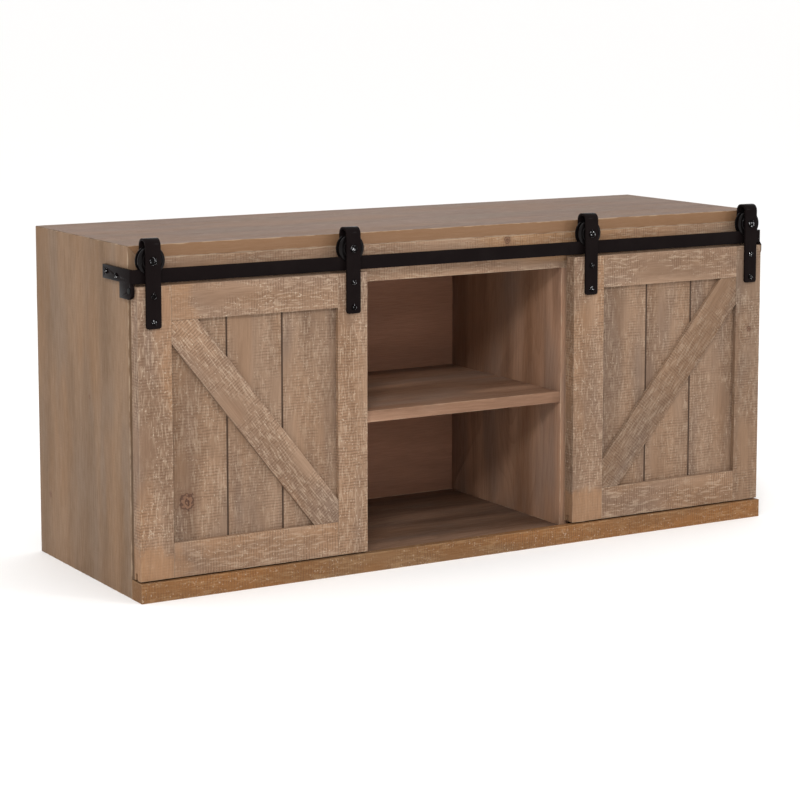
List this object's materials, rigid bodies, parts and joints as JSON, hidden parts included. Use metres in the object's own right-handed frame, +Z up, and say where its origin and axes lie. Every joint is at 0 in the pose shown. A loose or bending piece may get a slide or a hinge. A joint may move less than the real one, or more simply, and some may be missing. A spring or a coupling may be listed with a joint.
{
  "type": "tv stand with doors",
  "caption": "Low farmhouse TV stand in weathered pine: two plank doors with diagonal braces roll on a flat black rail, beside an open centre bay with a shelf.",
  "frame": {"origin": "on the floor, under the centre of the object's box", "axes": "+Z up; the doors face -Y; +X is to the right for someone facing the doors"},
  "size_m": [1.236, 0.4132, 0.568],
  "materials": {
    "weathered_pine": "brown stained pine, worn and matt",
    "whitewashed_pine": "rough-sawn pine with a thin whitewash, matt",
    "black_steel": "satin black powder coat",
    "black_rubber": "matt",
    "black_nylon": "satin"
  },
  "bodies": {
    "carcass": {"top_board": "weathered_pine", "left_side_panel": "weathered_pine", "right_side_panel": "weathered_pine", "header_rail": "weathered_pine", "bottom_board": "weathered_pine", "back_panel": "weathered_pine", "left_divider": "weathered_pine", "right_divider": "weathered_pine", "centre_shelf": "weathered_pine", "front_base_rail": "weathered_pine", "rail_bar": "black_steel", "left_arm_screw_1": "black_steel", "left_arm_screw_2": "black_steel", "right_arm_screw_1": "black_steel", "right_arm_screw_2": "black_steel", "left_door_stop": "black_rubber", "right_door_stop": "black_rubber", "left_door_guide": "black_nylon", "right_door_guide": "black_nylon"},
    "left_door": {"left_door_left_stile": "whitewashed_pine", "left_door_right_stile": "whitewashed_pine", "left_door_bottom_rail": "whitewashed_pine", "left_door_top_rail": "whitewashed_pine", "left_door_plank_1": "whitewashed_pine", "left_door_plank_2": "whitewashed_pine", "left_door_plank_3": "whitewashed_pine", "left_door_brace": "whitewashed_pine", "left_door_left_strap": "black_steel", "left_door_left_strap_screw_1": "black_steel", "left_door_left_strap_screw_2": "black_steel", "left_door_left_axle_bolt": "black_steel", "left_door_left_axle_nut": "black_steel", "left_door_right_strap": "black_steel", "left_door_right_strap_screw_1": "black_steel", "left_door_right_strap_screw_2": "black_steel", "left_door_right_axle_bolt": "black_steel", "left_door_right_axle_nut": "black_steel"},
    "right_door": {"right_door_left_stile": "whitewashed_pine", "right_door_right_stile": "whitewashed_pine", "right_door_bottom_rail": "whitewashed_pine", "right_door_top_rail": "whitewashed_pine", "right_door_plank_1": "whitewashed_pine", "right_door_plank_2": "whitewashed_pine", "right_door_plank_3": "whitewashed_pine", "right_door_brace": "whitewashed_pine", "right_door_left_strap": "black_steel", "right_door_left_strap_screw_1": "black_steel", "right_door_left_strap_screw_2": "black_steel", "right_door_left_axle_bolt": "black_steel", "right_door_left_axle_nut": "black_steel", "right_door_right_strap": "black_steel", "right_door_right_strap_screw_1": "black_steel", "right_door_right_strap_screw_2": "black_steel", "right_door_right_axle_bolt": "black_steel", "right_door_right_axle_nut": "black_steel"},
    "left_door_left_wheel": {"left_door_left_wheel": "black_steel"},
    "left_door_right_wheel": {"left_door_right_wheel": "black_steel"},
    "right_door_left_wheel": {"right_door_left_wheel": "black_steel"},
    "right_door_right_wheel": {"right_door_right_wheel": "black_steel"}
  },
  "joints": [
    {"name": "left_door_slide", "type": "slide", "parent": "carcass", "child": "left_door", "axis": [1, 0, 0], "range_m": [0, 0.203]},
    {"name": "right_door_slide", "type": "slide", "parent": "carcass", "child": "right_door", "axis": [-1, 0, 0], "range_m": [0, 0.203]},
    {"name": "left_door_left_wheel_spin", "type": "hinge", "parent": "left_door", "child": "left_door_left_wheel", "pos_m": [-0.5825, -0.18945, 0.5333], "axis": [0, 1, 0], "range_deg": [0, 900]},
    {"name": "left_door_right_wheel_spin", "type": "hinge", "parent": "left_door", "child": "left_door_right_wheel", "pos_m": [-0.2305, -0.18945, 0.5333], "axis": [0, 1, 0], "range_deg": [0, 900]},
    {"name": "right_door_left_wheel_spin", "type": "hinge", "parent": "right_door", "child": "right_door_left_wheel", "pos_m": [0.2365, -0.18945, 0.5333], "axis": [0, -1, 0], "range_deg": [0, 900]},
    {"name": "right_door_right_wheel_spin", "type": "hinge", "parent": "right_door", "child": "right_door_right_wheel", "pos_m": [0.5825, -0.18945, 0.5333], "axis": [0, -1, 0], "range_deg": [0, 900]}
  ],
  "couplings": [
    {"joint": "left_door_left_wheel_spin", "follows": "left_door_slide", "rad_per_m": 76.923},
    {"joint": "left_door_right_wheel_spin", "follows": "left_door_slide", "rad_per_m": 76.923},
    {"joint": "right_door_left_wheel_spin", "follows": "right_door_slide", "rad_per_m": 76.923},
    {"joint": "right_door_right_wheel_spin", "follows": "right_door_slide", "rad_per_m": 76.923}
  ]
}
